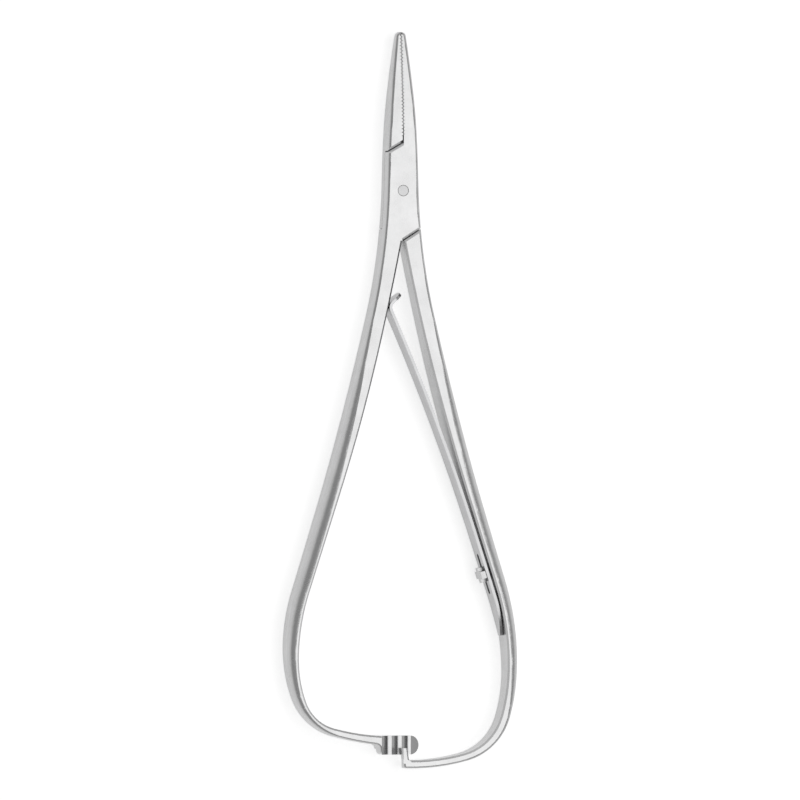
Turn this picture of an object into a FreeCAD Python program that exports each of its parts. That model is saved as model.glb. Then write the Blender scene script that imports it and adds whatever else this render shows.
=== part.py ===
import FreeCAD, Part
import math
import os
import Sketcher
from FreeCAD import Vector

# Elastic ligature pliers: palm handles, lap joint, ratchet and leaf spring.
# The pliers lie on their back. X runs to the right, Y towards the jaw tips, Z up out of the front.
# Inside each piece the pivot is at the origin and the middle of the thickness is at Z = 0.

doc = FreeCAD.newDocument("LigaturePliers")

# Driving dimensions, in millimetres and degrees. Depths run from the pivot towards the handles.
SIZES = {
    # side view: thickness from front to back
    "tip_thickness": 1.7,
    "joint_thickness": 5.2,
    "bow_thickness": 6.6,
    "end_thickness": 5.2,
    "taper_angle": 6.2,
    "taper_blend": 40.0,
    "swell_depth": 16.0,
    "swell_radius": 400.0,
    "ebb_rise": 23.5,
    "ebb_radius": 116.0,
    # jaws
    "jaw_reach": 30.2,
    "tip_half_width": 1.05,
    "tip_corner": 0.9,
    "jaw_side_radius": 243.3,
    "jaw_side_angle": 7.5,
    "waist_angle": 1.0,
    "tooth_pitch": 0.66,
    "tooth_depth": 0.36,
    "tooth_count": 30,
    "tooth_clearance": 0.06,
    "relief_gap": 0.24,
    # lap joint
    "shoulder_height": 9.0,
    "upper_slope": 30.0,
    "lower_slope": 32.5,
    "crotch_depth": 9.5,
    "crotch_half_gap": 0.2,
    "lap_gap": 0.24,
    "lap_clearance": 0.08,
    "bevel": 0.4,
    "rivet_radius": 1.07,
    "rivet_clearance": 0.04,
    "rivet_edge": 0.1,
    # both handles, outer line
    "shank_radius": 125.0,
    "shank_angle": 13.2,
    "bow_radius": 556.7,
    "bow_angle": 17.0,
    "heel_angle": 75.0,
    # both handles, inner line
    "inner_angle": 10.7,
    "inner_bow_radius": 400.0,
    "inner_bow_angle": 17.8,
    # ratchet handle, left
    "ratchet_shoulder_radius": 38.65,
    "ratchet_grip_radius": 26.0,
    "ratchet_grip_angle": 20.0,
    "ratchet_heel_radius": 12.0,
    "ratchet_heel_rise": 3.42,
    "ratchet_inner_shoulder_radius": 38.9,
    "ratchet_inner_grip_radius": 25.0,
    "ratchet_inner_heel_radius": 8.0,
    "ratchet_inner_heel_rise": 5.06,
    # hook handle, right
    "hook_shoulder_radius": 56.3,
    "hook_grip_radius": 35.0,
    "hook_grip_angle": 17.0,
    "hook_heel_radius": 12.0,
    "hook_heel_rise": 1.39,
    "hook_inner_shoulder_radius": 52.8,
    "hook_inner_grip_radius": 31.0,
    "hook_inner_heel_radius": 10.2,
    "hook_inner_heel_rise": 2.77,
    # rounding of the outer edges, front and back
    "joint_rounding": 0.6,
    "bow_rounding": 2.0,
    "grip_rounding": 1.4,
    "end_rounding": 0.45,
    "rounding_start": 24.0,
    "bow_start": 54.0,
    "bow_end_rise": 31.5,
    "grip_rise": 13.5,
    "end_rise": 0.5,
    "inner_bevel": 0.35,
    # ratchet bar at the end of the left handle
    "bar_left": 4.48,
    "bar_right": 3.58,
    "bar_top": 103.5,
    "bar_height": 3.6,
    "bar_end_crown": 0.02,
    "bar_fillet": 0.9,
    "bar_corner": 0.8,
    "ratchet_end_width": 1.65,
    "bar_crest": 0.9,
    "bar_back": 0.9,
    "bar_step": 4.2,
    "ratchet_pitch": 1.95,
    "ratchet_slope": 1.15,
    "ratchet_wall": 0.12,
    "ratchet_depth": 0.55,
    "last_wall": 1.25,
    "ramp_start": 1.88,
    "ramp_drop": 0.7,
    # hook at the end of the right handle
    "hook_gap": 1.1,
    "hook_seat_height": 1.5,
    "hook_left": 0.05,
    "hook_corner": 0.6,
    "hook_seat_width": 1.4,
    "hook_width": 1.15,
    "hook_lean": 8.7,
    "hook_height": 2.35,
    "hook_foot": 0.4,
    "hook_back_bevel": 1.2,
    "hook_clearance": 0.06,
    "hook_bevel": 0.3,
    # leaf spring
    "leaf_thickness": 0.55,
    "leaf_width": 4.9,
    "leaf_flat": 4.5,
    "leaf_gap": 0.35,
    "leaf_touch_depth": 22.2,
    "leaf_touch_gap": 0.15,
    "leaf_tail_length": 11.8,
    "leaf_tail_gap": 0.12,
    "curl_radius": 1.3,
    "curl_angle": 47.0,
    "curl_length": 2.5,
    "slot_length": 8.0,
    "slot_clearance": 0.1,
    "tail_taper": 7.6,
    "tail_tip": 0.75,
    # stud that holds the leaf spring
    "stud_rise": 2.26,
    "stud_radius": 0.55,
    "stud_bite": 1.2,
    "stud_collar": 0.95,
    "stud_head_across": 4.4,
    "stud_head_along": 2.9,
    "stud_bar_across": 1.4,
    "stud_bar_along": 1.7,
    "stud_head_height": 1.0,
    "stud_seat_clearance": 0.03,
}

sheet = doc.addObject("Spreadsheet::Sheet", "Sizes")
for row, (name, number) in enumerate(SIZES.items(), start=1):
    sheet.set("A%d" % row, name)
    sheet.set("B%d" % row, str(number))
    sheet.setAlias("B%d" % row, name)
doc.recompute()


class Size:
    """A number together with the formula that ties it to the sheet."""

    def __init__(self, number, formula):
        self.number = float(number)
        self.formula = formula

    def __add__(self, other):
        other = as_size(other)
        return Size(self.number + other.number, "(%s + %s)" % (self.formula, other.formula))

    def __sub__(self, other):
        other = as_size(other)
        return Size(self.number - other.number, "(%s - %s)" % (self.formula, other.formula))

    def __mul__(self, other):
        other = as_size(other)
        return Size(self.number * other.number, "(%s * %s)" % (self.formula, other.formula))

    def __truediv__(self, other):
        other = as_size(other)
        return Size(self.number / other.number, "(%s / %s)" % (self.formula, other.formula))

    def __neg__(self):
        return Size(-self.number, "(-%s)" % self.formula)


def as_size(value):
    """Turns a plain number into a size."""
    return value if isinstance(value, Size) else Size(value, repr(float(value)))


def size(name):
    """Reads one driving dimension from the sheet."""
    return Size(sheet.get(name), "Sizes." + name)


# Depths that follow from the bar: a rise is counted upwards from the end of the handle or bar.
BAR_BOTTOM = size("bar_top") + size("bar_height")
SEAT_DEPTH = BAR_BOTTOM + size("hook_gap")
HOOK_REACH = SEAT_DEPTH + size("hook_seat_height")
ARM_END = {"ratchet": BAR_BOTTOM, "hook": HOOK_REACH}


def sine(angle):
    """Gives the sine of an angle in degrees."""
    return Size(math.sin(math.radians(angle.number)), "sin(%s)" % angle.formula)


def tangent(angle):
    """Gives the tangent of an angle in degrees."""
    return Size(math.tan(math.radians(angle.number)), "tan(%s)" % angle.formula)


def new_sketch(body, name, plane):
    """Makes a sketch on one of the body's own origin planes."""
    sketch = body.newObject("Sketcher::SketchObject", name)
    for feature in body.Origin.OriginFeatures:
        if feature.Role == plane:
            sketch.AttachmentSupport = [(feature, "")]
    sketch.MapMode = "FlatFace"
    return sketch


def tie(sketch, kind, places, value):
    """Adds one dimension to a sketch and ties it to the sheet."""
    value = as_size(value)
    number = math.radians(value.number) if kind == "Angle" else value.number
    index = sketch.addConstraint(Sketcher.Constraint(kind, *places, number))
    sketch.setExpression("Constraints[%d]" % index, value.formula)


def pin_point(sketch, edge, end, x, y):
    """Holds the end of an edge at a point of the sheet's own sizes."""
    if x is not None:
        tie(sketch, "DistanceX", (-1, 1, edge, end), x)
    if y is not None:
        tie(sketch, "DistanceY", (-1, 1, edge, end), y)


class Trace:
    """A string of tangent edges, drawn downwards from a known point and heading.

    A heading is in degrees off straight down, and positive where the edge leans outwards.
    """

    def __init__(self, sketch, side, x, y, heading):
        self.sketch = sketch
        self.side = side
        self.start = (x, y)
        self.at = (x.number, y.number)
        self.heading = heading
        self.edges = []

    def add(self, geometry, near, far):
        """Adds one edge and joins it to the one before."""
        edge = self.sketch.addGeometry(geometry)
        if self.edges:
            before = self.edges[-1]
            joint = Sketcher.Constraint("Tangent", before[0], before[2], edge, near)
            self.sketch.addConstraint(joint)
        else:
            pin_point(self.sketch, edge, near, *self.start)
        self.edges.append((edge, near, far))
        return edge

    def turn(self, radius, heading, free=False):
        """Adds an arc that turns to another heading."""
        outwards = heading.number > self.heading.number
        swing = radius if outwards else -radius
        old = math.radians(self.heading.number)
        new = math.radians(heading.number)
        centre = Vector(
            self.at[0] + swing.number * self.side * math.cos(old),
            self.at[1] + swing.number * math.sin(old),
            0,
        )
        spokes = []
        for angle in (old, new):
            spoke_x = -swing.number * self.side * math.cos(angle)
            spoke_y = -swing.number * math.sin(angle)
            spokes.append(math.atan2(spoke_y, spoke_x))
        self.at = (
            centre.x + abs(radius.number) * math.cos(spokes[1]),
            centre.y + abs(radius.number) * math.sin(spokes[1]),
        )
        circle = Part.Circle(centre, Vector(0, 0, 1), radius.number)
        if swing.number * self.side > 0:
            arc, near, far = Part.ArcOfCircle(circle, spokes[0], spokes[1]), 1, 2
        else:
            arc, near, far = Part.ArcOfCircle(circle, spokes[1], spokes[0]), 2, 1
        first = not self.edges
        edge = self.add(arc, near, far)
        tie(self.sketch, "Radius", (edge,), radius)
        if first and abs(self.heading.number) > 45:
            aside = swing * sine(as_size(90) - self.heading) * self.side
            tie(self.sketch, "DistanceX", (edge, near, edge, 3), aside)
        elif first:
            drop = swing * sine(self.heading)
            tie(self.sketch, "DistanceY", (edge, near, edge, 3), drop)
        if not free:
            span = heading - self.heading if outwards else self.heading - heading
            tie(self.sketch, "Angle", (edge,), span)
        self.heading = heading

    def run(self, length, level=None):
        """Adds a straight edge whose length is left to the sizes on either side."""
        angle = math.radians(self.heading.number)
        x = self.at[0] + self.side * math.sin(angle) * length
        y = self.at[1] - math.cos(angle) * length
        line = Part.LineSegment(Vector(self.at[0], self.at[1], 0), Vector(x, y, 0))
        self.at = (x, y)
        first = not self.edges
        edge = self.add(line, 1, 2)
        if level:
            self.sketch.addConstraint(Sketcher.Constraint(level, edge))
        if first:
            tie(self.sketch, "Angle", (edge,), self.heading * self.side - 90)

    def hold(self, x=None, y=None):
        """Holds the end of the last edge at a known place."""
        pin_point(self.sketch, self.edges[-1][0], self.edges[-1][2], x, y)

    def reach(self, x, y, hold=True, hold_x=True):
        """Adds an arc that leaves on the present heading and ends at a known point."""
        here = Vector(self.at[0], self.at[1], 0)
        there = Vector(x.number, y.number, 0)
        angle = math.radians(self.heading.number)
        along = Vector(self.side * math.sin(angle), -math.cos(angle), 0)
        chord = there - here
        across = Vector(-along.y, along.x, 0)
        radius = chord.dot(chord) / (2 * chord.dot(across))
        centre = here + across * radius
        start = math.atan2(here.y - centre.y, here.x - centre.x)
        end = math.atan2(there.y - centre.y, there.x - centre.x)
        circle = Part.Circle(centre, Vector(0, 0, 1), abs(radius))
        if radius > 0:
            self.add(Part.ArcOfCircle(circle, start, end), 1, 2)
        else:
            self.add(Part.ArcOfCircle(circle, end, start), 2, 1)
        self.at = (there.x, there.y)
        lean = math.degrees(math.atan2(self.side * chord.x, -chord.y))
        lean += 360 * round((self.heading.number - lean) / 360)
        self.heading = as_size(2 * lean - self.heading.number)
        if hold:
            self.hold(x if hold_x else None, y)


def drop_of(steps):
    """Adds up how far a list of (radius, from, to) arcs goes down."""
    total = 0.0
    for radius, old, new in steps:
        swing = radius.number if new > old else -radius.number
        total += swing * (math.sin(math.radians(new)) - math.sin(math.radians(old)))
    return total


def outer_trace(sketch, side, arm):
    """Draws the outer line of one side, from the jaw tip down to the end of the handle's heel."""
    tip_x = (size("tip_half_width") - size("tip_corner")) * side
    trace = Trace(sketch, side, tip_x, size("jaw_reach"), as_size(90))
    trace.turn(size("tip_corner"), size("jaw_side_angle"))
    trace.turn(size("jaw_side_radius"), size("waist_angle"))
    if arm is None:
        floor = -size("crotch_depth")
        lean = math.sin(math.radians(trace.heading.number))
        lean += (trace.at[1] - floor.number) / size("shank_radius").number
        trace.turn(size("shank_radius"), as_size(math.degrees(math.asin(lean))), free=True)
        trace.hold(y=floor)
        return trace
    trace.turn(size("shank_radius"), size("shank_angle"))
    trace.turn(size("bow_radius"), size("bow_angle"))
    bow = size("bow_angle").number
    grip = size(arm + "_grip_angle").number
    heel = size("heel_angle").number
    rest = drop_of([
        (size(arm + "_shoulder_radius"), bow, 0.0),
        (size(arm + "_grip_radius"), 0.0, -grip),
        (size(arm + "_heel_radius"), -grip, -heel),
    ])
    heel_depth = ARM_END[arm] - size(arm + "_heel_rise")
    left = trace.at[1] + heel_depth.number - rest
    trace.run(left / math.cos(math.radians(bow)))
    trace.turn(size(arm + "_shoulder_radius"), as_size(0))
    trace.turn(size(arm + "_grip_radius"), -size(arm + "_grip_angle"))
    trace.turn(size(arm + "_heel_radius"), -size("heel_angle"))
    trace.hold(y=-heel_depth)
    return trace


def inner_trace(sketch, side, arm):
    """Draws the inner line of one handle, from the crotch down to the end of its heel."""
    trace = Trace(
        sketch, side, size("crotch_half_gap") * side, -size("crotch_depth"), size("inner_angle")
    )
    trace.turn(size("inner_bow_radius"), size("inner_bow_angle"))
    bow = size("inner_bow_angle").number
    grip = size(arm + "_grip_angle").number
    heel = size("heel_angle").number
    rest = drop_of([
        (size(arm + "_inner_shoulder_radius"), bow, 0.0),
        (size(arm + "_inner_grip_radius"), 0.0, -grip),
        (size(arm + "_inner_heel_radius"), -grip, -heel),
    ])
    heel_depth = ARM_END[arm] - size(arm + "_inner_heel_rise")
    left = trace.at[1] + heel_depth.number - rest
    trace.run(left / math.cos(math.radians(bow)))
    trace.turn(size(arm + "_inner_shoulder_radius"), as_size(0))
    trace.turn(size(arm + "_inner_grip_radius"), -size(arm + "_grip_angle"))
    trace.turn(size(arm + "_inner_heel_radius"), -size("heel_angle"))
    trace.hold(y=-heel_depth)
    return trace


def join(sketch, edge_a, end_a, edge_b, end_b):
    """Adds a straight edge between two free ends."""
    a = sketch.getPoint(edge_a, end_a)
    b = sketch.getPoint(edge_b, end_b)
    line = sketch.addGeometry(Part.LineSegment(a, b))
    sketch.addConstraint(Sketcher.Constraint("Coincident", line, 1, edge_a, end_a))
    sketch.addConstraint(Sketcher.Constraint("Coincident", line, 2, edge_b, end_b))
    return line


def thickness_cut(body, name):
    """Trims front and back to the side view: thin jaw tips, flat joint, deeper bows."""
    sketch = new_sketch(body, name + "SideView", "YZ_Plane")
    sketch.AttachmentOffset = FreeCAD.Placement(
        Vector(0, 0, 0), FreeCAD.Rotation(Vector(0, 0, 1), -90)
    )
    half_joint = size("joint_thickness") / 2
    half_bow = size("bow_thickness") / 2
    half_end = size("end_thickness") / 2
    swell = half_bow.number - half_joint.number
    ebb = half_bow.number - half_end.number
    swell_lean = math.degrees(math.acos(1 - swell / 2 / size("swell_radius").number))
    ebb_lean = math.degrees(math.acos(1 - ebb / 2 / size("ebb_radius").number))
    taper = math.radians(size("taper_angle").number)
    blend = size("taper_blend").number * (1 - math.cos(taper))
    rise = half_joint.number - size("tip_thickness").number / 2 - blend

    trace = Trace(
        sketch, -1, -size("tip_thickness") / 2, size("jaw_reach"), size("taper_angle")
    )
    trace.run(rise / math.sin(taper))
    trace.turn(size("taper_blend"), as_size(0))
    trace.hold(x=-half_joint)
    trace.run(trace.at[1] + size("swell_depth").number)
    trace.hold(y=-size("swell_depth"))
    trace.turn(size("swell_radius"), as_size(swell_lean), free=True)
    trace.turn(size("swell_radius"), as_size(0), free=True)
    ebb_depth = size("bar_top") - size("ebb_rise")
    trace.run(trace.at[1] + ebb_depth.number, "Vertical")
    trace.hold(x=-half_bow, y=-ebb_depth)
    trace.turn(size("ebb_radius"), as_size(-ebb_lean), free=True)
    trace.turn(size("ebb_radius"), as_size(0), free=True)
    floor = HOOK_REACH + 3
    trace.run(trace.at[1] + floor.number, "Vertical")
    trace.hold(x=-half_end, y=-floor)

    edge, near, far = trace.edges[0]
    top = sketch.getPoint(edge, near)
    edge_end, near_end, far_end = trace.edges[-1]
    bottom = sketch.getPoint(edge_end, far_end)
    wide = -(half_bow + 1)
    corners = [Vector(wide.number, top.y, 0), Vector(wide.number, bottom.y, 0)]
    across = sketch.addGeometry(Part.LineSegment(top, corners[0]))
    down = sketch.addGeometry(Part.LineSegment(corners[0], corners[1]))
    back = sketch.addGeometry(Part.LineSegment(corners[1], bottom))
    for first, end_a, second, end_b in (
        (across, 1, edge, near), (across, 2, down, 1), (down, 2, back, 1), (back, 2, edge_end, far_end)
    ):
        sketch.addConstraint(Sketcher.Constraint("Coincident", first, end_a, second, end_b))
    sketch.addConstraint(Sketcher.Constraint("Horizontal", across))
    sketch.addConstraint(Sketcher.Constraint("Horizontal", back))
    sketch.addConstraint(Sketcher.Constraint("Vertical", down))
    tie(sketch, "DistanceX", (-1, 1, down, 1), wide)

    pocket = cut_through(body, name + "Front", sketch)
    mirror = body.newObject("PartDesign::Mirrored", name + "Back")
    mirror.Originals = [pocket]
    mirror.MirrorPlane = (origin_plane(body, "XY_Plane"), [""])
    body.Tip = mirror
    doc.recompute()


def origin_plane(body, role):
    """Finds one of the body's own origin planes or axes."""
    return [item for item in body.Origin.OriginFeatures if item.Role == role][0]


def cut_through(body, name, sketch):
    """Cuts a sketch through the whole piece, both ways from its plane."""
    pocket = body.newObject("PartDesign::Pocket", name)
    pocket.Profile = sketch
    pocket.Type = "ThroughAll"
    pocket.SideType = "Symmetric"
    doc.recompute()
    return pocket


def cut_one_way(body, name, sketch, length, up):
    """Cuts a sketch to one side of its plane: up its normal or down."""
    pocket = body.newObject("PartDesign::Pocket", name)
    pocket.Profile = sketch
    pocket.Reversed = up
    if length is None:
        pocket.Type = "ThroughAll"
    else:
        pocket.setExpression("Length", length.formula)
    doc.recompute()
    return pocket


def outer_edges(shape, traces):
    """Finds the front and back edges of a blank that follow its outer lines."""
    lines = []
    for trace in traces:
        for edge, near, far in trace.edges:
            lines.append(trace.sketch.Geometry[edge].toShape())
    guide = Part.makeCompound(lines)
    found = []
    for number, edge in enumerate(shape.Edges, start=1):
        ends = [vertex.Point for vertex in edge.Vertexes]
        flat = [Vector(end.x, end.y, 0) for end in ends]
        if len(ends) < 2 or flat[0].distanceToPoint(flat[1]) < 0.001:
            continue
        middle = edge.valueAt((edge.FirstParameter + edge.LastParameter) / 2)
        points = flat + [Vector(middle.x, middle.y, 0)]
        gaps = [guide.distToShape(Part.Vertex(point))[0] for point in points]
        if max(gaps) < 0.002:
            found.append((number, max(ends[0].y, ends[1].y), min(ends[0].y, ends[1].y)))
    return found


def rounding_at(y):
    """Gives the radius of the outer rounding at a height along the pliers."""
    stations = [
        (size("jaw_reach"), size("joint_rounding")),
        (-size("rounding_start"), size("joint_rounding")),
        (-size("bow_start"), size("bow_rounding")),
        (size("bow_end_rise") - size("bar_top"), size("bow_rounding")),
        (size("grip_rise") - size("bar_top"), size("grip_rounding")),
        (size("end_rise") - size("bar_top"), size("end_rounding")),
    ]
    high = stations[0]
    for low in stations[1:]:
        if y >= low[0].number:
            share = min((y - low[0].number) / (high[0].number - low[0].number), 1.0)
            return low[1].number + share * (high[1].number - low[1].number)
        high = low
    return stations[-1][1].number


def radii_along(shape, edges):
    """Gives each outer edge its radii at both ends, in the direction of its contour.

    The front outline is one contour that runs down one side and up the other, and so is the
    back one. Each takes its direction from the first of its edges.
    """
    right_side_down = {}
    listed = []
    for number, high, low in edges:
        edge = shape.Edges[number - 1]
        first = edge.valueAt(edge.FirstParameter)
        last = edge.valueAt(edge.LastParameter)
        front = first.z > 0
        right = first.x + last.x > 0
        right_side_down.setdefault(front, (last.y < first.y) == right)
        radii = [rounding_at(high), rounding_at(low)]
        if right_side_down[front] != right:
            radii.reverse()
        listed.append((number, *radii))
    return listed


def rounded_blank(name, arm_side, arm, finish_end):
    """Forges one half in full thickness: jaw, joint and handle, with the outer edges rounded."""
    body = doc.addObject("PartDesign::Body", name + "Blank")
    sketch = new_sketch(body, name + "Plan", "XY_Plane")
    outer = outer_trace(sketch, arm_side, arm)
    inner = inner_trace(sketch, arm_side, arm)
    finish_end(sketch, outer, inner)
    other = outer_trace(sketch, -arm_side, None)
    join(sketch, outer.edges[0][0], outer.edges[0][1], other.edges[0][0], other.edges[0][1])
    join(sketch, other.edges[-1][0], other.edges[-1][2], inner.edges[0][0], inner.edges[0][1])
    pad = body.newObject("PartDesign::Pad", name + "Pad")
    pad.Profile = sketch
    pad.SideType = "Symmetric"
    pad.setExpression("Length", "Sizes.bow_thickness")
    doc.recompute()
    thickness_cut(body, name)

    inside = doc.addObject("Part::Chamfer", name + "Inside")
    inside.Base = body
    width = size("inner_bevel").number
    inside.Edges = [
        (number, width, width) for number, high, low in outer_edges(body.Shape, [inner])
    ]
    doc.recompute()

    rounded = doc.addObject("Part::Fillet", name + "Rounded")
    rounded.Base = inside
    rounded.Edges = radii_along(inside.Shape, outer_edges(inside.Shape, [outer, other]))
    doc.recompute()
    return rounded


def ratchet_end(sketch, outer, inner):
    """Ends the left handle in the ratchet bar, which reaches across to the right."""
    fillet_x = -(size("bar_left") + size("bar_fillet") * 0.88)
    outer.reach(fillet_x, -(size("bar_top") + size("ratchet_end_width")), hold_x=False)
    half = size("bar_height") / 2 + size("bar_end_crown")
    outer.turn(size("bar_fillet"), as_size(0), free=True)
    outer.run(outer.at[1] + BAR_BOTTOM.number - size("bar_corner").number, "Vertical")
    outer.hold(x=-size("bar_left"))
    outer.turn(size("bar_corner"), as_size(-90), free=True)
    outer.run(size("bar_right").number - half.number - outer.at[0], "Horizontal")
    outer.hold(x=size("bar_right") - half, y=-BAR_BOTTOM)
    lean = math.degrees(math.acos(1 - 2 * size("bar_end_crown").number / half.number))
    outer.turn(half, as_size(lean - 270), free=True)
    inner.reach(-size("bar_left"), -size("bar_top"))
    top = join(sketch, outer.edges[-1][0], outer.edges[-1][2], inner.edges[-1][0], inner.edges[-1][2])
    sketch.addConstraint(Sketcher.Constraint("Horizontal", top))


def hook_end(sketch, outer, inner):
    """Ends the right handle in a short seat for the hook."""
    corner_x = size("hook_left") + size("hook_corner")
    outer.reach(corner_x, -HOOK_REACH)
    outer.turn(size("hook_corner"), as_size(-180), free=True)
    outer.run(outer.at[1] * -1 - SEAT_DEPTH.number, "Vertical")
    outer.hold(y=-SEAT_DEPTH)
    inner.reach(size("hook_left") + size("hook_seat_width"), -SEAT_DEPTH)
    join(sketch, outer.edges[-1][0], outer.edges[-1][2], inner.edges[-1][0], inner.edges[-1][2])


def polygon(body, name, side, corners, lift=None):
    """Draws a closed straight-sided outline; side -1 mirrors it left to right."""
    sketch = new_sketch(body, name, "XY_Plane")
    if lift is not None:
        sketch.setExpression("AttachmentOffset.Base.z", lift.formula)
    points = [Vector(x.number * side, y.number, 0) for x, y in corners]
    lines = []
    for number, point in enumerate(points):
        after = points[(number + 1) % len(points)]
        lines.append(sketch.addGeometry(Part.LineSegment(point, after)))
    for number, line in enumerate(lines):
        after = lines[(number + 1) % len(lines)]
        sketch.addConstraint(Sketcher.Constraint("Coincident", line, 2, after, 1))
        x, y = corners[number]
        pin_point(sketch, line, 1, x * side, y)
    doc.recompute()
    return sketch


def bevel_edges(body, name, pick, width):
    """Bevels the picked edges; pick is asked with the two ends and the middle of each edge."""
    sharp = body.Tip
    edges = []
    for number, edge in enumerate(sharp.Shape.Edges, start=1):
        middle = edge.valueAt((edge.FirstParameter + edge.LastParameter) / 2)
        ends = [vertex.Point for vertex in edge.Vertexes]
        if len(ends) == 2 and pick(ends, middle):
            edges.append("Edge%d" % number)
    chamfer = body.newObject("PartDesign::Chamfer", name)
    chamfer.Base = (sharp, edges)
    chamfer.setExpression("Size", width.formula)
    doc.recompute()


def cut_lap(body, name, arm_side, front):
    """Cuts one half down to its own layer of the lap joint and clears its partner's jaw and arm.

    Widths are counted from the middle towards this half's own jaw; front is +1 or -1.
    """
    jaw_side = -arm_side
    wide = as_size(6)
    above = size("jaw_reach") + 1
    upper = tangent(size("upper_slope"))
    lower = tangent(size("lower_slope"))
    flat = size("tooth_clearance") / 2 - size("tooth_depth") / 2
    relief = size("relief_gap") / 2
    zone_end = size("jaw_reach") - size("tooth_pitch") * size("tooth_count")
    crotch = -size("crotch_half_gap")
    depth = -size("crotch_depth")
    top = size("shoulder_height")
    gap = size("lap_gap")

    jaw = polygon(body, name + "JawLine", jaw_side, [
        (flat, above),
        (flat, zone_end),
        (relief, zone_end),
        (relief, top),
        (as_size(0), top),
        (-wide, top - wide * upper),
        (-wide, above),
    ])
    cut_through(body, name + "JawClearance", jaw)

    arm = polygon(body, name + "ArmLine", jaw_side, [
        (crotch, depth),
        (wide, depth + (wide - crotch) * lower),
        (wide, depth - 2),
        (crotch, depth - 2),
    ])
    cut_through(body, name + "ArmClearance", arm)

    lap = polygon(body, name + "LapPlan", jaw_side, [
        (-wide, depth + (wide - crotch) * lower - gap),
        (-crotch, depth - gap),
        (wide, depth - gap),
        (wide, top - wide * upper + gap),
        (as_size(0), top + gap),
        (-wide, top + gap),
    ], lift=size("lap_clearance") / 2 * front)
    cut_one_way(body, name + "Lap", lap, None, up=front < 0)


def bevel_steps(body, name, arm_side, front):
    """Bevels the outer edges of the lap's steps: the plate's own two and the two facing it."""
    wide = as_size(6)
    bevel = size("bevel")
    upper = tangent(size("upper_slope"))
    lower = tangent(size("lower_slope"))
    top = size("shoulder_height")
    depth = -size("crotch_depth")
    half_gap = size("crotch_half_gap")
    gap = size("lap_gap")
    edge = size("relief_gap") / 2 - bevel
    foot = bevel - half_gap
    own = [
        [(-wide, top - wide * upper), (edge, top + edge * upper), (edge, top + 3), (-wide, top + 3)],
        [
            (foot, depth + (foot + half_gap) * lower),
            (wide, depth + (wide + half_gap) * lower),
            (wide, depth - 4),
            (foot, depth - 4),
        ],
    ]
    facing = [
        [
            (edge, top + gap - edge * upper),
            (wide, top + gap - wide * upper),
            (wide, as_size(0)),
            (edge, as_size(0)),
        ],
        [
            (-wide, depth - gap + (half_gap + wide) * lower),
            (half_gap, depth - gap),
            (half_gap, as_size(-3)),
            (-wide, as_size(-3)),
        ],
    ]
    level = size("joint_thickness") / 2 - bevel
    for word, plans, layer in (("Own", own, front), ("Facing", facing, -front)):
        for number, corners in enumerate(plans, start=1):
            label = "%s%sBevel%d" % (name, word, number)
            plan = polygon(body, label + "Plan", -arm_side, corners, lift=level * layer)
            pocket = cut_one_way(body, label, plan, bevel * 1.2, up=layer > 0)
            pocket.TaperAngle = 45
            doc.recompute()


def cut_teeth(body, name, jaw_side, shift):
    """Cuts the row of cross teeth along the jaw; a shifted row starts with half a groove."""
    pitch = size("tooth_pitch")
    deep = size("tooth_depth")
    spill = as_size(0.05)
    flat = size("tooth_clearance") / 2 - deep / 2
    start = size("jaw_reach") + pitch * shift
    flare = spill / deep * pitch / 2
    groove = polygon(body, name + "ToothPlan", jaw_side, [
        (flat - spill, start + flare),
        (flat + deep, start - pitch / 2),
        (flat - spill, start - pitch - flare),
    ])
    pocket = cut_through(body, name + "Tooth", groove)
    steps = size("tooth_count") if shift else size("tooth_count") - 1
    row = body.newObject("PartDesign::LinearPattern", name + "Teeth")
    row.Originals = [pocket]
    row.Direction = (origin_plane(body, "Y_Axis"), [""])
    row.Reversed = True
    row.setExpression("Occurrences", (steps + 1).formula)
    row.setExpression("Length", (pitch * steps).formula)
    body.Tip = row
    doc.recompute()


def cut_pivot_hole(body, name, radius):
    """Drills the pivot hole through both faces."""
    sketch = new_sketch(body, name + "PivotPlan", "XY_Plane")
    circle = sketch.addGeometry(Part.Circle(Vector(0, 0, 0), Vector(0, 0, 1), radius.number))
    sketch.addConstraint(Sketcher.Constraint("Coincident", circle, 3, -1, 1))
    tie(sketch, "Radius", (circle,), radius)
    doc.recompute()
    cut_through(body, name + "PivotHole", sketch)


def new_half(name, blank):
    """Starts the finished half from its rounded blank."""
    body = doc.addObject("PartDesign::Body", name)
    body.Label = name
    body.BaseFeature = blank
    doc.recompute()
    return body


def leaf_anchor():
    """Finds the leaf's mid-thickness point at the stud, off the hook handle's inner face."""
    lean = size("inner_bow_angle")
    bow = size("inner_bow_radius")
    start = size("inner_angle")
    end_x = size("crotch_half_gap") + bow * (cosine(start) - cosine(lean))
    end_y = bow * (sine(start) - sine(lean)) - size("crotch_depth")
    bend = size("hook_inner_shoulder_radius") * sine(lean)
    depth = upright_depth() - bend - size("stud_rise")
    face_x = end_x + (end_y + depth) * tangent(lean)
    off = size("leaf_gap") + size("leaf_thickness") / 2
    return face_x - off * cosine(lean), -depth - off * sine(lean)


def upright_depth():
    """Finds how deep the hook handle's inner face bends back to upright."""
    grip = size("hook_grip_angle")
    grip_drop = size("hook_inner_grip_radius") * sine(grip)
    heel_drop = size("hook_inner_heel_radius") * (sine(size("heel_angle")) - sine(grip))
    return HOOK_REACH - size("hook_inner_heel_rise") - grip_drop - heel_drop


def inner_face_x(y):
    """Reads how far the straight-leaning inner face of a handle stands from the middle."""
    bow = size("inner_bow_radius")
    start = size("inner_angle")
    sine_there = sine(start) - (y + size("crotch_depth")) / bow
    return size("crotch_half_gap") + bow * (cosine(start) - cosine_of(sine_there))


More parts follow.
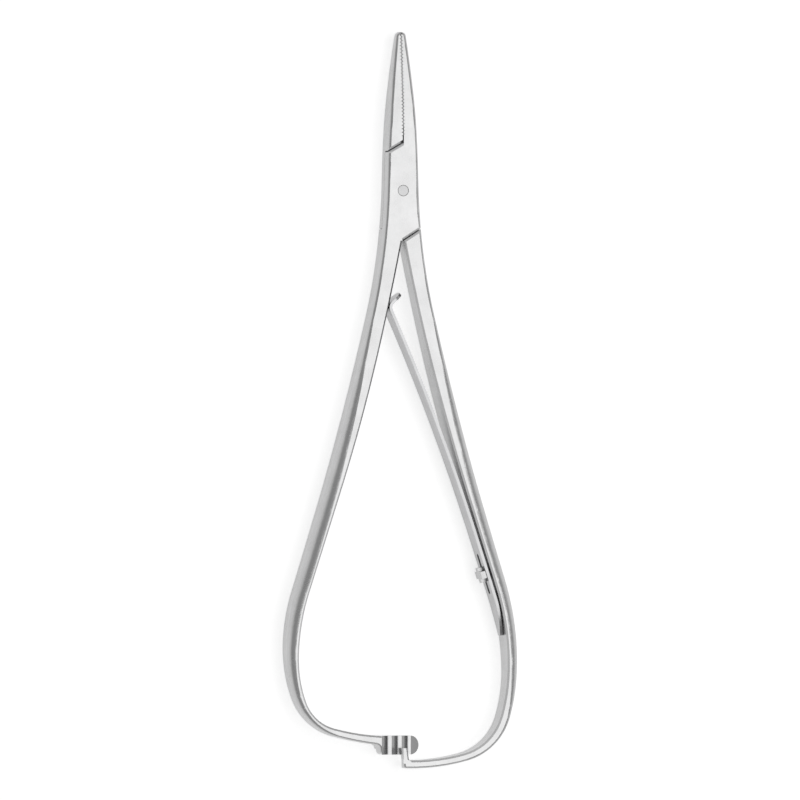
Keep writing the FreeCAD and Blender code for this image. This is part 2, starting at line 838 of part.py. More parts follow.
def hook_face_x(y):
    """Reads the hook handle's inner face where its shoulder bends back to upright."""
    lean = size("inner_bow_angle")
    bend = size("hook_inner_shoulder_radius")
    low = upright_depth()
    bow = size("inner_bow_radius")
    start = size("inner_angle")
    end_x = size("crotch_half_gap") + bow * (cosine(start) - cosine(lean))
    end_y = bow * (sine(start) - sine(lean)) - size("crotch_depth")
    bend_x = end_x + (end_y + low - bend * sine(lean)) * tangent(lean)
    return bend_x + bend * (cosine_of((y + low) / bend) - cosine(lean))


def cosine(angle):
    """Gives the cosine of an angle in degrees."""
    return Size(math.cos(math.radians(angle.number)), "cos(%s)" % angle.formula)


def cosine_of(share):
    """Gives the cosine of the angle whose sine is known."""
    return Size(math.sqrt(1 - share.number ** 2), "sqrt(1 - pow(%s; 2))" % share.formula)


def leaf_plane(body, name, rise):
    """Makes a sketch square to the leaf's thickness at the stud, shifted towards the handle."""
    sketch = new_sketch(body, name, "YZ_Plane")
    anchor_x, anchor_y = leaf_anchor()
    lean = size("inner_bow_angle")
    sketch.AttachmentOffset = FreeCAD.Placement(
        Vector(0, 0, 0), FreeCAD.Rotation(Vector(0, 1, 0), lean.number)
    )
    sketch.setExpression("AttachmentOffset.Rotation.Angle", lean.formula)
    sketch.setExpression("AttachmentOffset.Base.x", (anchor_y + rise * sine(lean)).formula)
    sketch.setExpression("AttachmentOffset.Base.z", (anchor_x + rise * cosine(lean)).formula)
    return sketch


def closed_lines(sketch, corners):
    """Draws straight edges from corner to corner and back to the first."""
    points = [Vector(x.number, y.number, 0) for x, y in corners]
    lines = []
    for number, point in enumerate(points):
        after = points[(number + 1) % len(points)]
        lines.append(sketch.addGeometry(Part.LineSegment(point, after)))
    for number, line in enumerate(lines):
        after = lines[(number + 1) % len(lines)]
        sketch.addConstraint(Sketcher.Constraint("Coincident", line, 2, after, 1))
        pin_point(sketch, line, 1, *corners[number])
    doc.recompute()
    return lines


def cut_ratchet(body):
    """Steps the bar's front below the handle's front, then cuts three catches and the lead-in."""
    step = -size("bar_step")
    past = size("bar_right") + 1
    top = -size("bar_top") + 1
    bottom = -BAR_BOTTOM - 1
    face = polygon(body, "BarFacePlan", 1, [
        (step, top), (past, top), (past, bottom), (step, bottom)
    ], lift=size("bar_crest"))
    cut_one_way(body, "BarFace", face, None, up=True)
    end = -size("bar_left")
    back = polygon(body, "BarBackPlan", 1, [
        (end, top), (past, top), (past, bottom), (end, bottom)
    ], lift=-size("bar_back"))
    cut_one_way(body, "BarBack", back, None, up=False)

    crest = size("bar_crest")
    spill = as_size(0.2)
    wall = size("last_wall")
    run = size("ratchet_wall")
    slope = size("ratchet_slope")
    deep = size("ratchet_depth")
    catch = bar_sketch(body, "CatchProfile", [
        (wall - slope - spill * slope / deep, crest + spill),
        (wall, crest - deep),
        (wall + run + spill * run / deep, crest + spill),
    ])
    pocket = cut_one_way(body, "Catch", catch, size("bar_height") + 0.6, up=True)
    row = body.newObject("PartDesign::LinearPattern", "Catches")
    row.Originals = [pocket]
    row.Direction = (origin_plane(body, "X_Axis"), [""])
    row.Reversed = True
    row.Occurrences = 3
    row.setExpression("Length", (size("ratchet_pitch") * 2).formula)
    body.Tip = row
    doc.recompute()

    drop = size("ramp_drop")
    ramp = bar_sketch(body, "RampProfile", [
        (size("ramp_start"), crest),
        (size("bar_right"), crest - drop),
        (past, crest - drop),
        (past, crest + spill),
        (size("ramp_start"), crest + spill),
    ])
    cut_one_way(body, "Ramp", ramp, size("bar_height") + 0.6, up=True)


def bar_sketch(body, name, corners):
    """Draws a profile seen from the handle's end, just above the bar's top edge."""
    sketch = new_sketch(body, name, "XZ_Plane")
    sketch.setExpression("AttachmentOffset.Base.z", (size("bar_top") - 0.3).formula)
    closed_lines(sketch, corners)
    return sketch


def bevel_hook_end(body):
    """Grinds the back of the hook handle's end off at a slant, up to the hook's own back."""
    left = size("hook_left")
    level = size("bar_crest") + size("hook_clearance")
    behind = -size("bow_thickness") / 2
    slant = bar_sketch(body, "HookEndProfile", [
        (left - 1, level),
        (left, level),
        (left + size("hook_back_bevel"), behind),
        (left - 1, behind),
    ])
    cut_one_way(body, "HookEnd", slant, HOOK_REACH - size("bar_top") + 1, up=True)


def add_hook(body):
    """Raises the leaning hook in front of the bar, flush with the handle's front."""
    base = -SEAT_DEPTH - 0.6
    top = size("hook_height") - SEAT_DEPTH
    lean = tangent(size("hook_lean"))
    left = size("hook_left")
    right = left + size("hook_width")
    seat = -SEAT_DEPTH
    back = size("bar_crest") + size("hook_clearance")
    plan = polygon(body, "HookPlan", 1, [
        (left, base),
        (left, seat),
        (left - (top - seat) * lean, top),
        (right - (top - seat) * lean, top),
        (right, seat),
        (right + size("hook_foot"), seat - size("hook_foot") / 2),
        (right + size("hook_foot"), base),
    ], lift=back)
    pad = body.newObject("PartDesign::Pad", "HookPost")
    pad.Profile = plan
    pad.setExpression("Length", (size("end_thickness") / 2 - back).formula)
    doc.recompute()
    front = size("end_thickness").number / 2

    def on_post(ends, middle):
        low = min(end.y for end in ends)
        high = max(end.y for end in ends)
        level = max(abs(end.z - front) for end in ends)
        steep = high - low > 1 and high < top.number + 0.05
        return steep and level < 0.01 and low > seat.number - 0.05 and middle.x < 1.5

    bevel_edges(body, "HookBevels", on_post, size("hook_bevel"))


def drill_stud_hole(body):
    """Drills the blind hole that holds the stud's shank."""
    off = size("leaf_gap") + size("leaf_thickness") / 2
    sketch = leaf_plane(body, "StudHolePlan", off - 0.4)
    circle = sketch.addGeometry(
        Part.Circle(Vector(0, 0, 0), Vector(0, 0, 1), size("stud_radius").number)
    )
    sketch.addConstraint(Sketcher.Constraint("Coincident", circle, 3, -1, 1))
    tie(sketch, "Radius", (circle,), size("stud_radius"))
    doc.recompute()
    cut_one_way(body, "StudHole", sketch, size("stud_bite") + 0.4, up=True)


# Ratchet half: right jaw, front layer of the joint, left handle and ratchet bar, one forging.
ratchet_blank = rounded_blank("Ratchet", -1, "ratchet", ratchet_end)
ratchet_half = new_half("ratchet_half", ratchet_blank)
cut_lap(ratchet_half, "Ratchet", -1, 1)
bevel_steps(ratchet_half, "Ratchet", -1, 1)
cut_teeth(ratchet_half, "Ratchet", 1, 0)
cut_pivot_hole(ratchet_half, "Ratchet", size("rivet_radius"))
cut_ratchet(ratchet_half)

# Hook half: left jaw, back layer of the joint, right handle and hook, one forging.
hook_blank = rounded_blank("Hook", 1, "hook", hook_end)
hook_half = new_half("hook_half", hook_blank)
cut_lap(hook_half, "Hook", 1, -1)
bevel_steps(hook_half, "Hook", 1, -1)
cut_teeth(hook_half, "Hook", -1, 0.5)
cut_pivot_hole(hook_half, "Hook", size("rivet_radius") + size("rivet_clearance"))
bevel_hook_end(hook_half)
add_hook(hook_half)
drill_stud_hole(hook_half)

# Pivot rivet: a plain pin through both layers, ground flush with both faces.
pivot_rivet = doc.addObject("PartDesign::Body", "pivot_rivet")
pivot_rivet.Label = "pivot_rivet"
rivet_plan = new_sketch(pivot_rivet, "RivetPlan", "XY_Plane")
ring = rivet_plan.addGeometry(
    Part.Circle(Vector(0, 0, 0), Vector(0, 0, 1), size("rivet_radius").number)
)
rivet_plan.addConstraint(Sketcher.Constraint("Coincident", ring, 3, -1, 1))
tie(rivet_plan, "Radius", (ring,), size("rivet_radius"))
rivet_pin = pivot_rivet.newObject("PartDesign::Pad", "RivetPin")
rivet_pin.Profile = rivet_plan
rivet_pin.SideType = "Symmetric"
rivet_pin.setExpression("Length", "Sizes.joint_thickness")
doc.recompute()
rivet_ends = pivot_rivet.newObject("PartDesign::Chamfer", "RivetEnds")
round_edges = [
    "Edge%d" % number
    for number, edge in enumerate(rivet_pin.Shape.Edges, start=1)
    if abs(edge.BoundBox.ZLength) < 0.001
]
rivet_ends.Base = (rivet_pin, round_edges)
rivet_ends.setExpression("Size", "Sizes.rivet_edge")
doc.recompute()

# Leaf spring: one strip bent from the stud up to the other handle and down to its tail.
leaf_spring = doc.addObject("PartDesign::Body", "leaf_spring")
leaf_spring.Label = "leaf_spring"
anchor_x, anchor_y = leaf_anchor()
half_leaf = size("leaf_thickness") / 2
curl_y = -size("leaf_touch_depth")
off_face = (size("curl_radius") + half_leaf + size("leaf_touch_gap")) / cosine(size("inner_angle"))
curl_x = off_face - inner_face_x(curl_y)
tail_y = anchor_y - size("leaf_tail_length")
tail_x = hook_face_x(tail_y) - size("leaf_tail_gap") - half_leaf


upward = new_sketch(leaf_spring, "LeafUpward", "XY_Plane")
upper = Trace(upward, 1, anchor_x, anchor_y, size("inner_bow_angle") + 180)
upper.run(size("leaf_flat").number)
tie(upward, "Distance", (upper.edges[0][0],), size("leaf_flat"))
meet_x = curl_x - size("curl_radius") * cosine(size("inner_bow_angle"))
meet_y = curl_y - size("curl_radius") * sine(size("inner_bow_angle"))
upper.reach(meet_x, meet_y, hold=False)
upper.turn(size("curl_radius"), as_size(180) - size("curl_angle"), free=True)
pin_point(upward, upper.edges[-1][0], 3, curl_x, curl_y)
upper.run(size("curl_length").number)
curl = upper.edges[-1][0]
tie(upward, "Angle", (curl,), as_size(90) - size("curl_angle"))
tie(upward, "Distance", (curl,), size("curl_length"))

downward = new_sketch(leaf_spring, "LeafDownward", "XY_Plane")
lower = Trace(downward, 1, anchor_x, anchor_y, size("inner_bow_angle"))
lower.run(size("leaf_flat").number)
tie(downward, "Distance", (lower.edges[0][0],), size("leaf_flat"))
lower.reach(tail_x, tail_y)
doc.recompute()

section = new_sketch(leaf_spring, "LeafSection", "XZ_Plane")
section.AttachmentOffset = FreeCAD.Placement(
    Vector(0, 0, 0), FreeCAD.Rotation(Vector(0, 1, 0), size("inner_bow_angle").number)
)
section.setExpression("AttachmentOffset.Rotation.Angle", "Sizes.inner_bow_angle")
section.setExpression("AttachmentOffset.Base.x", anchor_x.formula)
section.setExpression("AttachmentOffset.Base.z", (-anchor_y).formula)
half_wide = size("leaf_width") / 2
closed_lines(section, [
    (-half_leaf, -half_wide), (half_leaf, -half_wide), (half_leaf, half_wide), (-half_leaf, half_wide)
])
for name, path in (("LeafTop", upward), ("LeafTail", downward)):
    strip = leaf_spring.newObject("PartDesign::AdditivePipe", name)
    strip.Profile = section
    strip.Spine = path
    doc.recompute()


# The slot lets the leaf slide along the stud as it bends.
slot = leaf_plane(leaf_spring, "SlotPlan", as_size(0))
slot_half = size("stud_radius") + size("slot_clearance")
reach_half = size("slot_length") / 2 - slot_half
rounds = []
for end in (1, -1):
    middle = Vector(reach_half.number * end, 0, 0)
    circle = Part.Circle(middle, Vector(0, 0, 1), slot_half.number)
    turn_from = -math.pi / 2 if end > 0 else math.pi / 2
    rounds.append(slot.addGeometry(Part.ArcOfCircle(circle, turn_from, turn_from + math.pi)))
    pin_point(slot, rounds[-1], 3, reach_half * end, as_size(0))
for first, second in (rounds, rounds[::-1]):
    start = slot.getPoint(first, 2)
    finish = slot.getPoint(second, 1)
    side = slot.addGeometry(Part.LineSegment(start, finish))
    slot.addConstraint(Sketcher.Constraint("Tangent", first, 2, side, 1))
    slot.addConstraint(Sketcher.Constraint("Tangent", side, 2, second, 1))
tie(slot, "Radius", (rounds[0],), slot_half)
slot.addConstraint(Sketcher.Constraint("Equal", rounds[0], rounds[1]))
doc.recompute()
cut_through(leaf_spring, "Slot", slot)

# The tail narrows to a rounded tip; the curled end is rounded across its whole width.
tail_end = -((anchor_y - tail_y) * cosine(size("inner_bow_angle")))
tail_end = tail_end - (tail_x - anchor_x) * sine(size("inner_bow_angle"))
taper = size("tail_taper")
narrowing = half_wide - size("tail_tip")
taper_radius = (taper * taper + narrowing * narrowing) / narrowing / 2
beyond = cosine_of((taper + 1) / taper_radius)
for name, side in (("TailFront", 1), ("TailBack", -1)):
    plan = leaf_plane(leaf_spring, name + "Plan", as_size(0))
    start_x = tail_end + taper
    centre_y = (half_wide - taper_radius) * side
    end_y = centre_y + taper_radius * beyond * side
    corners = [
        (start_x, half_wide * side),
        (start_x, (half_wide + 1) * side),
        (tail_end - 1, (half_wide + 1) * side),
        (tail_end - 1, end_y),
    ]
    points = [Vector(x.number, y.number, 0) for x, y in corners]
    sides = [plan.addGeometry(Part.LineSegment(a, b)) for a, b in zip(points, points[1:])]
    for number, line in enumerate(sides):
        pin_point(plan, line, 1, *corners[number])
    for before, after in zip(sides, sides[1:]):
        plan.addConstraint(Sketcher.Constraint("Coincident", before, 2, after, 1))
    centre = Vector(start_x.number, centre_y.number, 0)
    circle = Part.Circle(centre, Vector(0, 0, 1), taper_radius.number)
    angles = [math.atan2(point.y - centre.y, point.x - centre.x) for point in (points[3], points[0])]
    near, far = (2, 1) if side > 0 else (1, 2)
    if side > 0:
        angles.reverse()
    arc = plan.addGeometry(Part.ArcOfCircle(circle, *angles))
    plan.addConstraint(Sketcher.Constraint("Coincident", sides[-1], 2, arc, near))
    plan.addConstraint(Sketcher.Constraint("Coincident", arc, far, sides[0], 1))
    plan.addConstraint(Sketcher.Constraint("Vertical", sides[-1]))
    tie(plan, "Radius", (arc,), taper_radius)
    pin_point(plan, arc, 3, start_x, None)
    doc.recompute()
    cut_through(leaf_spring, name, plan)


def end_edges(shape, low, high):
    """Finds the short upright edges of the strip's end between two depths."""
    found = []
    for number, edge in enumerate(shape.Edges, start=1):
        box = edge.BoundBox
        if edge.Length < 1.5 * size("leaf_thickness").number and box.ZLength < 0.1:
            if low <= box.YMin and box.YMax <= high and abs(box.Center.z) > 0.7:
                found.append("Edge%d" % number)
    return found


for name, low, high, radius in (
    ("TailTip", tail_y.number - 0.6, tail_y.number + 0.6, size("tail_tip") * 0.9),
    ("CurlTip", curl_y.number + 1, 0.0, size("leaf_width") * 0.4),
):
    square = leaf_spring.Tip
    rounding = leaf_spring.newObject("PartDesign::Fillet", name)
    rounding.Base = (square, end_edges(square.Shape, low, high))
    rounding.setExpression("Radius", radius.formula)
    doc.recompute()

# Spring stud: a shank in the handle, a collar under the leaf and a cross-shaped head over it.
spring_stud = doc.addObject("PartDesign::Body", "spring_stud")
spring_stud.Label = "spring_stud"
off = size("leaf_gap") + half_leaf


def stud_disc(name, rise, radius, length):
    """Adds one round length of the stud towards the handle."""
    sketch = leaf_plane(spring_stud, name + "Plan", rise)
    disc = sketch.addGeometry(Part.Circle(Vector(0, 0, 0), Vector(0, 0, 1), radius.number))
    sketch.addConstraint(Sketcher.Constraint("Coincident", disc, 3, -1, 1))
    tie(sketch, "Radius", (disc,), radius)
    pad = spring_stud.newObject("PartDesign::Pad", name)
    pad.Profile = sketch
    pad.setExpression("Length", length.formula)
    doc.recompute()


head_floor = -(half_leaf + size("stud_seat_clearance"))
stud_disc("StudShank", head_floor, size("stud_radius"), off - head_floor + size("stud_bite"))
stud_disc("StudCollar", half_leaf, size("stud_collar"), size("leaf_gap"))
head_plan = leaf_plane(spring_stud, "StudHeadPlan", head_floor)
along = size("stud_head_along") / 2
across = size("stud_head_across") / 2
bar_along = size("stud_bar_across") / 2
bar_across = size("stud_bar_along") / 2
quarter = [(along, bar_across), (bar_along, bar_across), (bar_along, across)]
corners = [(x, y) for x, y in quarter]
corners += [(-x, y) for x, y in reversed(quarter)]
corners += [(-x, -y) for x, y in quarter]
corners += [(x, -y) for x, y in reversed(quarter)]
closed_lines(head_plan, corners)
head = spring_stud.newObject("PartDesign::Pad", "StudHead")
head.Profile = head_plan
head.Reversed = True
head.setExpression("Length", "Sizes.stud_head_height")
doc.recompute()

# The pivot lies off the middle of the whole length; every piece is stood on one common base.
parts = [ratchet_half, hook_half, pivot_rivet, leaf_spring, spring_stud]
for part in parts:
    part.setExpression("Placement.Base.y", ((HOOK_REACH - size("jaw_reach")) / 2).formula)
    part.setExpression("Placement.Base.z", "Sizes.bow_thickness / 2")
doc.recompute()

for item in doc.Objects:
    if "Invalid" in item.State or "Error" in item.State:
        raise RuntimeError("%s failed: %s" % (item.Name, item.State))
os.makedirs("parts", exist_ok=True)
for part in parts:
    if part.Shape.isNull() or not part.Shape.isValid() or len(part.Shape.Solids) != 1:
        raise RuntimeError("%s has no sound shape" % part.Label)
    part.Shape.exportStep("parts/%s.step" % part.Label)
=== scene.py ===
import math

import bpy
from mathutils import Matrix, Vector


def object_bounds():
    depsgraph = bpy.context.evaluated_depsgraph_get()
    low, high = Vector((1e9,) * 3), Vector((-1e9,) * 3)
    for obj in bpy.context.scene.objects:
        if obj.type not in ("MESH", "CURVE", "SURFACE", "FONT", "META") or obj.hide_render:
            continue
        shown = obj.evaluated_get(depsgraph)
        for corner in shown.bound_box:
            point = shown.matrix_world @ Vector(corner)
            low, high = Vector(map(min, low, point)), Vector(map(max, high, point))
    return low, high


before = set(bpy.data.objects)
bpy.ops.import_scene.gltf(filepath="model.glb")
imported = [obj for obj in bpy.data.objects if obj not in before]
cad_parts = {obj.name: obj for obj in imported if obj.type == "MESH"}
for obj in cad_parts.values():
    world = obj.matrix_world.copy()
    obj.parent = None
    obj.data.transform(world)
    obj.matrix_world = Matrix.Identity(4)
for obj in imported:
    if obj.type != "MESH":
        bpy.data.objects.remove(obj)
cad_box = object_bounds()

# Two forged halves of stainless steel, crossed in a lap joint and held by the rivet. Their
# fronts and backs are ground flat, their outer sides rounded, and all of it has a satin finish.
# The clefts get painted shade: the bite, the steps of the lap and the catches.
FORGED_STEEL = (0.55, 0.55, 0.552)
FORGED_GRAIN = 0.5
FORGED_ROUGHNESS = 0.26
GRAIN_PER_METRE = 4200.0
MOTTLING_PER_METRE = 260.0
STROKES_PER_METRE = 1500.0
STROKE_STRETCH = (1.0, 0.035, 1.0)
GRAIN_DEPTH = 0.00001
# Painted shade in the clefts: how far round a point the occlusion looks, and how dark it paints.
CREVICE_SHADE_REACH = 0.0005
CREVICE_SHADE = 0.85
# Painted shadow in the bite: where the row of teeth ends, its length, the zigzag's pitch and
# swing, its half widths and its brightness.
BITE_END = 0.06995
BITE_LENGTH = 0.0198
BITE_PITCH = 0.00066
BITE_SWING = 0.00018
BITE_SHADOW_HALF_WIDTH = 0.00008
ROOT_SHADOW_HALF_WIDTH = 0.00015
BITE_SHADOW_BRIGHTNESS = 0.06
PIVOT_HEIGHT = 0.03975
PEENED_RADIUS = 0.0014


def number(tree, operation, *inputs):
    """Adds a Math node; an input is a number or another node's socket."""
    node = tree.nodes.new("ShaderNodeMath")
    node.operation = operation
    for place, given in enumerate(inputs):
        if isinstance(given, (int, float)):
            node.inputs[place].default_value = given
        else:
            tree.links.new(given, node.inputs[place])
    return node.outputs["Value"]


def spread(tree, value, low, high, least, most):
    """Turns the range low..high into least..most and holds its ends."""
    node = tree.nodes.new("ShaderNodeMapRange")
    node.inputs["From Min"].default_value = low
    node.inputs["From Max"].default_value = high
    node.inputs["To Min"].default_value = least
    node.inputs["To Max"].default_value = most
    tree.links.new(value, node.inputs["Value"])
    return node.outputs["Result"]


def scaled(tree, color, factor):
    """Multiplies a colour by a value."""
    node = tree.nodes.new("ShaderNodeVectorMath")
    node.operation = "SCALE"
    tree.links.new(color, node.inputs[0])
    tree.links.new(factor, node.inputs["Scale"])
    return node.outputs["Vector"]


def split(tree, vector):
    """Gives the X, Y and Z of a vector."""
    node = tree.nodes.new("ShaderNodeSeparateXYZ")
    tree.links.new(vector, node.inputs["Vector"])
    return node.outputs


def place_on_piece(tree):
    """Gives the point on the piece, on the piece's own axes."""
    return tree.nodes.new("ShaderNodeTexCoord").outputs["Object"]


def noise(tree, where, scale, detail):
    """Adds a noise pattern."""
    node = tree.nodes.new("ShaderNodeTexNoise")
    node.inputs["Scale"].default_value = scale
    node.inputs["Detail"].default_value = detail
    node.inputs["Roughness"].default_value = 0.6
    tree.links.new(where, node.inputs["Vector"])
    return node.outputs["Fac"]


def satin_group():
    """Satin steel: fine grain, faint mottling, hairline strokes and painted shade in the
    crevices.
    """
    tree = bpy.data.node_groups.new("satin steel", "ShaderNodeTree")
    face = tree.interface
    face.new_socket("Steel", in_out="INPUT", socket_type="NodeSocketColor")
    for name in ("Grain", "Base Roughness", "Cleft Shade"):
        face.new_socket(name, in_out="INPUT", socket_type="NodeSocketFloat")
    face.new_socket("Color", in_out="OUTPUT", socket_type="NodeSocketColor")
    face.new_socket("Roughness", in_out="OUTPUT", socket_type="NodeSocketFloat")
    face.new_socket("Normal", in_out="OUTPUT", socket_type="NodeSocketVector")
    given = tree.nodes.new("NodeGroupInput").outputs
    result = tree.nodes.new("NodeGroupOutput").inputs
    where = place_on_piece(tree)

    grain = noise(tree, where, GRAIN_PER_METRE, 2.0)
    mottling = noise(tree, where, MOTTLING_PER_METRE, 4.0)
    lengthwise = tree.nodes.new("ShaderNodeMapping")
    lengthwise.inputs["Scale"].default_value = STROKE_STRETCH
    tree.links.new(where, lengthwise.inputs["Vector"])
    strokes = noise(tree, lengthwise.outputs["Vector"], STROKES_PER_METRE, 2.0)
    stroke = spread(tree, strokes, 0.66, 0.72, 0.0, 1.0)
    fine = number(tree, "MULTIPLY", number(tree, "SUBTRACT", grain, 0.5), given["Grain"])

    # Painted shade: the colour darkens where other surfaces stand close round a point, in the
    # clefts and steps.
    crevice = tree.nodes.new("ShaderNodeAmbientOcclusion")
    crevice.samples = 8
    crevice.inputs["Distance"].default_value = CREVICE_SHADE_REACH
    painted_crevice_shade = spread(tree, crevice.outputs["AO"], 0.15, 0.65, CREVICE_SHADE, 0.0)
    crevice_shade_factor = number(tree, "SUBTRACT", 1.0, number(tree, "MULTIPLY", painted_crevice_shade, given["Cleft Shade"]))

    light = spread(tree, mottling, 0.3, 0.7, 0.965, 1.03)
    light = number(tree, "ADD", light, number(tree, "MULTIPLY", fine, 0.2))
    light = number(tree, "ADD", light, number(tree, "MULTIPLY", stroke, 0.05))
    light = number(tree, "MULTIPLY", light, crevice_shade_factor)
    tree.links.new(scaled(tree, given["Steel"], light), result["Color"])

    rough = number(tree, "ADD", given["Base Roughness"], number(tree, "MULTIPLY", fine, 0.1))
    rough = number(tree, "ADD", rough, spread(tree, mottling, 0.3, 0.7, 0.02, -0.02))
    rough = number(tree, "ADD", rough, number(tree, "MULTIPLY", stroke, 0.06))
    tree.links.new(rough, result["Roughness"])

    bump = tree.nodes.new("ShaderNodeBump")
    bump.inputs["Distance"].default_value = GRAIN_DEPTH
    bump.inputs["Strength"].default_value = 0.05
    tree.links.new(grain, bump.inputs["Height"])
    tree.links.new(bump.outputs["Normal"], result["Normal"])
    return tree


SATIN = satin_group()


def steel_material(name, color, grain, roughness, cleft_shade=1.0):
    """Satin steel of one piece; the last argument says how dark the painted shade in its crevices
    goes.
    """
    material = bpy.data.materials.new(name)
    material.use_nodes = True
    tree = material.node_tree
    shader = tree.nodes["Principled BSDF"]
    shader.inputs["Metallic"].default_value = 1.0
    satin = tree.nodes.new("ShaderNodeGroup")
    satin.node_tree = SATIN
    satin.inputs["Steel"].default_value = (*color, 1.0)
    satin.inputs["Grain"].default_value = grain
    satin.inputs["Base Roughness"].default_value = roughness
    satin.inputs["Cleft Shade"].default_value = cleft_shade
    tree.links.new(satin.outputs["Color"], shader.inputs["Base Color"])
    tree.links.new(satin.outputs["Roughness"], shader.inputs["Roughness"])
    tree.links.new(satin.outputs["Normal"], shader.inputs["Normal"])
    return material, satin


def paint_bite_shadow(material, satin):
    """Paints a hair-thin zigzag of shadow between the two rows of teeth, thickest in their roots.
    """
    tree = material.node_tree
    point = split(tree, place_on_piece(tree))
    along = number(tree, "SUBTRACT", BITE_END, point["Y"])
    tooth = number(tree, "FRACT", number(tree, "DIVIDE", along, BITE_PITCH))
    from_middle = number(tree, "ABSOLUTE", number(tree, "SUBTRACT", tooth, 0.5))
    wave = number(tree, "MULTIPLY_ADD", from_middle, -4.0, 1.0)
    zigzag = number(tree, "MULTIPLY", wave, BITE_SWING)
    aside = number(tree, "ABSOLUTE", number(tree, "SUBTRACT", point["X"], zigzag))
    half_width = spread(tree, number(tree, "ABSOLUTE", wave), 0.55, 1.0,
                        BITE_SHADOW_HALF_WIDTH, ROOT_SHADOW_HALF_WIDTH)
    line = spread(tree, number(tree, "DIVIDE", aside, half_width), 0.7, 1.3, 1.0, 0.0)
    row = number(tree, "MULTIPLY", number(tree, "GREATER_THAN", along, 0.0),
                 number(tree, "LESS_THAN", along, BITE_LENGTH))
    # The painted shadow leaves out the teeth's own flanks, which face sideways, so they stay
    # bright when the jaws are open.
    facing = split(tree, tree.nodes.new("ShaderNodeNewGeometry").outputs["True Normal"])
    ground = spread(tree, number(tree, "ABSOLUTE", facing["Z"]), 0.5, 0.8, 0.0, 1.0)
    bite_shadow_mask = number(tree, "MULTIPLY", number(tree, "MULTIPLY", line, row), ground)
    # Painted shadow: the steel's colour darkens under the zigzag.
    shade = spread(tree, bite_shadow_mask, 0.0, 1.0, 1.0, BITE_SHADOW_BRIGHTNESS)
    base = tree.nodes["Principled BSDF"].inputs["Base Color"]
    tree.links.new(scaled(tree, satin.outputs["Color"], shade), base)


def leave_rivet_seam_unshaded(material, satin):
    """Leaves out the painted crevice shade round the rivet, which is peened tight and ground
    over.
    """
    tree = material.node_tree
    point = split(tree, place_on_piece(tree))
    rise = number(tree, "SUBTRACT", point["Y"], PIVOT_HEIGHT)
    squares = number(tree, "ADD", number(tree, "POWER", point["X"], 2.0),
                     number(tree, "POWER", rise, 2.0))
    away = number(tree, "SQRT", squares)
    outside = number(tree, "GREATER_THAN", away, PEENED_RADIUS)
    tree.links.new(outside, satin.inputs["Cleft Shade"])


def dress(node, material):
    """Gives a CAD node its one material."""
    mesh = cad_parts[node].data
    mesh.materials.clear()
    mesh.materials.append(material)


forged, forged_satin = steel_material("satin forged steel", FORGED_STEEL, FORGED_GRAIN,
                                      FORGED_ROUGHNESS)
# The bite gets a painted shadow, and the painted crevice shade is left out round the rivet.
paint_bite_shadow(forged, forged_satin)
leave_rivet_seam_unshaded(forged, forged_satin)
dress("ratchet_half", forged)
dress("hook_half", forged)

# Pivot rivet: a pin of drawn rod through both halves, peened and ground flush front and back.
# It was ground together with the halves, so only a slightly greyer disc shows.
RIVET_STEEL = (0.46, 0.46, 0.463)
rivet_steel, _ = steel_material("rivet steel", RIVET_STEEL, 0.3, 0.27, 0.0)
dress("pivot_rivet", rivet_steel)

# Leaf spring: a strip of spring steel, slotted at the stud and curled at its upper end. It is
# fixed by the stud's head alone, and is a little smoother and darker than the forgings.
STRIP_STEEL = (0.47, 0.47, 0.475)
strip_steel, _ = steel_material("spring strip steel", STRIP_STEEL, 0.4, 0.25)
dress("leaf_spring", strip_steel)

# Spring stud: turned and milled from rod, and pressed into the right handle. Its cross-shaped
# head holds the leaf down.
STUD_STEEL = (0.5, 0.5, 0.503)
stud_steel, _ = steel_material("stud steel", STUD_STEEL, 0.6, 0.27)
dress("spring_stud", stud_steel)

# White sweep under the pliers: matt paper, which shows white and still takes their faint shadow.
PAPER = (0.8, 0.8, 0.8, 1.0)
WHITE = (1.0, 1.0, 1.0, 1.0)
SWEEP_SIZE = 3.0
SWEEP_DROP = 0.0001
WHITENESS_TO_CAMERA = 0.66
WHITENESS_TO_METAL = 0.56
bpy.ops.mesh.primitive_plane_add(size=SWEEP_SIZE, location=(0.0, 0.0, cad_box[0][2] - SWEEP_DROP))
floor = bpy.context.object
floor.name = "floor"
paper = bpy.data.materials.new("white paper")
paper.use_nodes = True
sheet = paper.node_tree
matt = sheet.nodes["Principled BSDF"]
matt.inputs["Base Color"].default_value = PAPER
matt.inputs["Roughness"].default_value = 0.95
glow = sheet.nodes.new("ShaderNodeEmission")
glow.inputs["Color"].default_value = WHITE
rays = sheet.nodes.new("ShaderNodeLightPath")
to_camera = number(sheet, "MULTIPLY", rays.outputs["Is Camera Ray"], WHITENESS_TO_CAMERA)
to_metal = number(sheet, "MULTIPLY", rays.outputs["Is Glossy Ray"], WHITENESS_TO_METAL)
sheet.links.new(number(sheet, "ADD", to_camera, to_metal), glow.inputs["Strength"])
both = sheet.nodes.new("ShaderNodeAddShader")
sheet.links.new(matt.outputs["BSDF"], both.inputs[0])
sheet.links.new(glow.outputs["Emission"], both.inputs[1])
sheet.links.new(both.outputs["Shader"], sheet.nodes["Material Output"].inputs["Surface"])
floor.data.materials.append(paper)

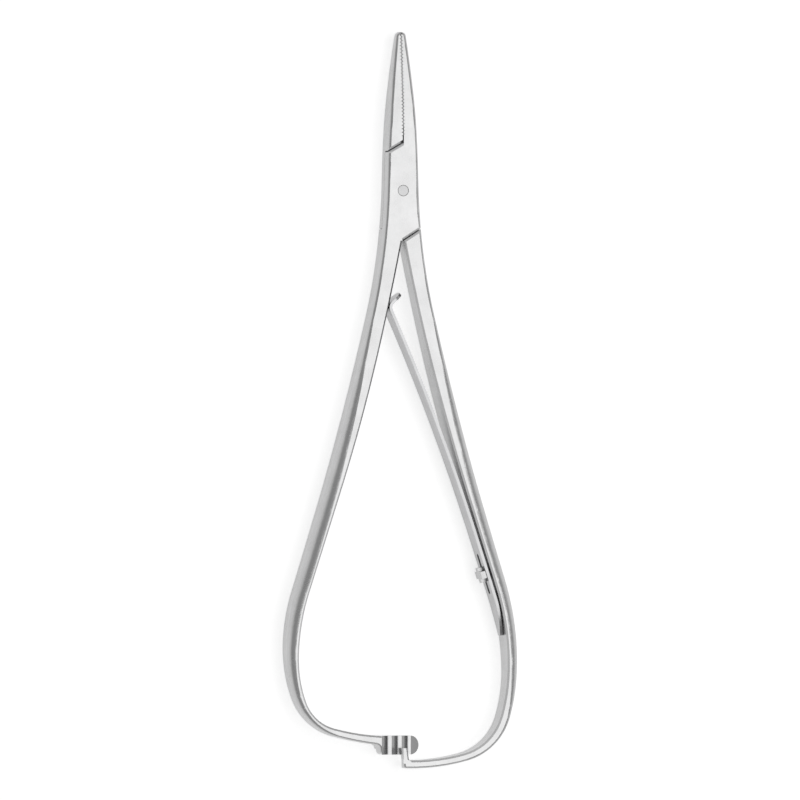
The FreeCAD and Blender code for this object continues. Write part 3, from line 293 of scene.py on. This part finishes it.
# Dim studio over the sweep: pale walls near the table and a darker ceiling above them, so that
# metal which leans away from the soft box darkens at once.
ROOM_COLOUR = (0.9, 0.9, 0.9, 1.0)
ROOM_STRENGTH = 0.35
WALL_BRIGHTNESS = 0.85
CEILING_BRIGHTNESS = 0.38
world = bpy.data.worlds.new("studio")
bpy.context.scene.world = world
world.use_nodes = True
studio = world.node_tree
room = studio.nodes["Background"]
room.inputs["Color"].default_value = ROOM_COLOUR
room.inputs["Strength"].default_value = ROOM_STRENGTH
seen = studio.nodes.new("ShaderNodeBackground")
seen.inputs["Color"].default_value = WHITE
mirrored = studio.nodes.new("ShaderNodeBackground")
mirrored.inputs["Color"].default_value = WHITE
heading = split(studio, studio.nodes.new("ShaderNodeTexCoord").outputs["Generated"])
wall = spread(studio, heading["Z"], 0.25, 0.6, WALL_BRIGHTNESS, CEILING_BRIGHTNESS)
studio.links.new(wall, mirrored.inputs["Strength"])
ray = studio.nodes.new("ShaderNodeLightPath")
for_gloss = studio.nodes.new("ShaderNodeMixShader")
studio.links.new(ray.outputs["Is Glossy Ray"], for_gloss.inputs["Fac"])
studio.links.new(room.outputs["Background"], for_gloss.inputs[1])
studio.links.new(mirrored.outputs["Background"], for_gloss.inputs[2])
for_camera = studio.nodes.new("ShaderNodeMixShader")
studio.links.new(ray.outputs["Is Camera Ray"], for_camera.inputs["Fac"])
studio.links.new(for_gloss.outputs["Shader"], for_camera.inputs[1])
studio.links.new(seen.outputs["Background"], for_camera.inputs[2])
studio.links.new(for_camera.outputs["Shader"], studio.nodes["World Output"].inputs["Surface"])

# One soft box hangs above and a little to the right, and faces straight down.
box = bpy.data.lights.new("soft box above", "AREA")
box.shape = "RECTANGLE"
box.size = 0.32
box.size_y = 0.6
box.energy = 0.75
soft_box = bpy.data.objects.new("soft box above", box)
soft_box.location = (0.16, 0.0, 0.5)
bpy.context.scene.collection.objects.link(soft_box)

# Camera: level with the front, turned to the left, far off and with a long lens.
YAW = math.radians(14.0)
DISTANCE = 2.5
VIEW_WIDTH = 0.152
SENSOR_WIDTH = 36.0
MID_THICKNESS = Vector((0.0, 0.0, 0.0033))
camera_data = bpy.data.cameras.new("camera")
camera_data.sensor_width = SENSOR_WIDTH
camera_data.lens = SENSOR_WIDTH * DISTANCE / VIEW_WIDTH
camera_data.clip_start = 0.01
camera = bpy.data.objects.new("camera", camera_data)
camera.location = MID_THICKNESS + DISTANCE * Vector((-math.sin(YAW), 0.0, math.cos(YAW)))
camera.rotation_euler = (0.0, -YAW, 0.0)
bpy.context.scene.collection.objects.link(camera)
bpy.context.scene.camera = camera

bpy.context.scene.view_settings.view_transform = "Standard"
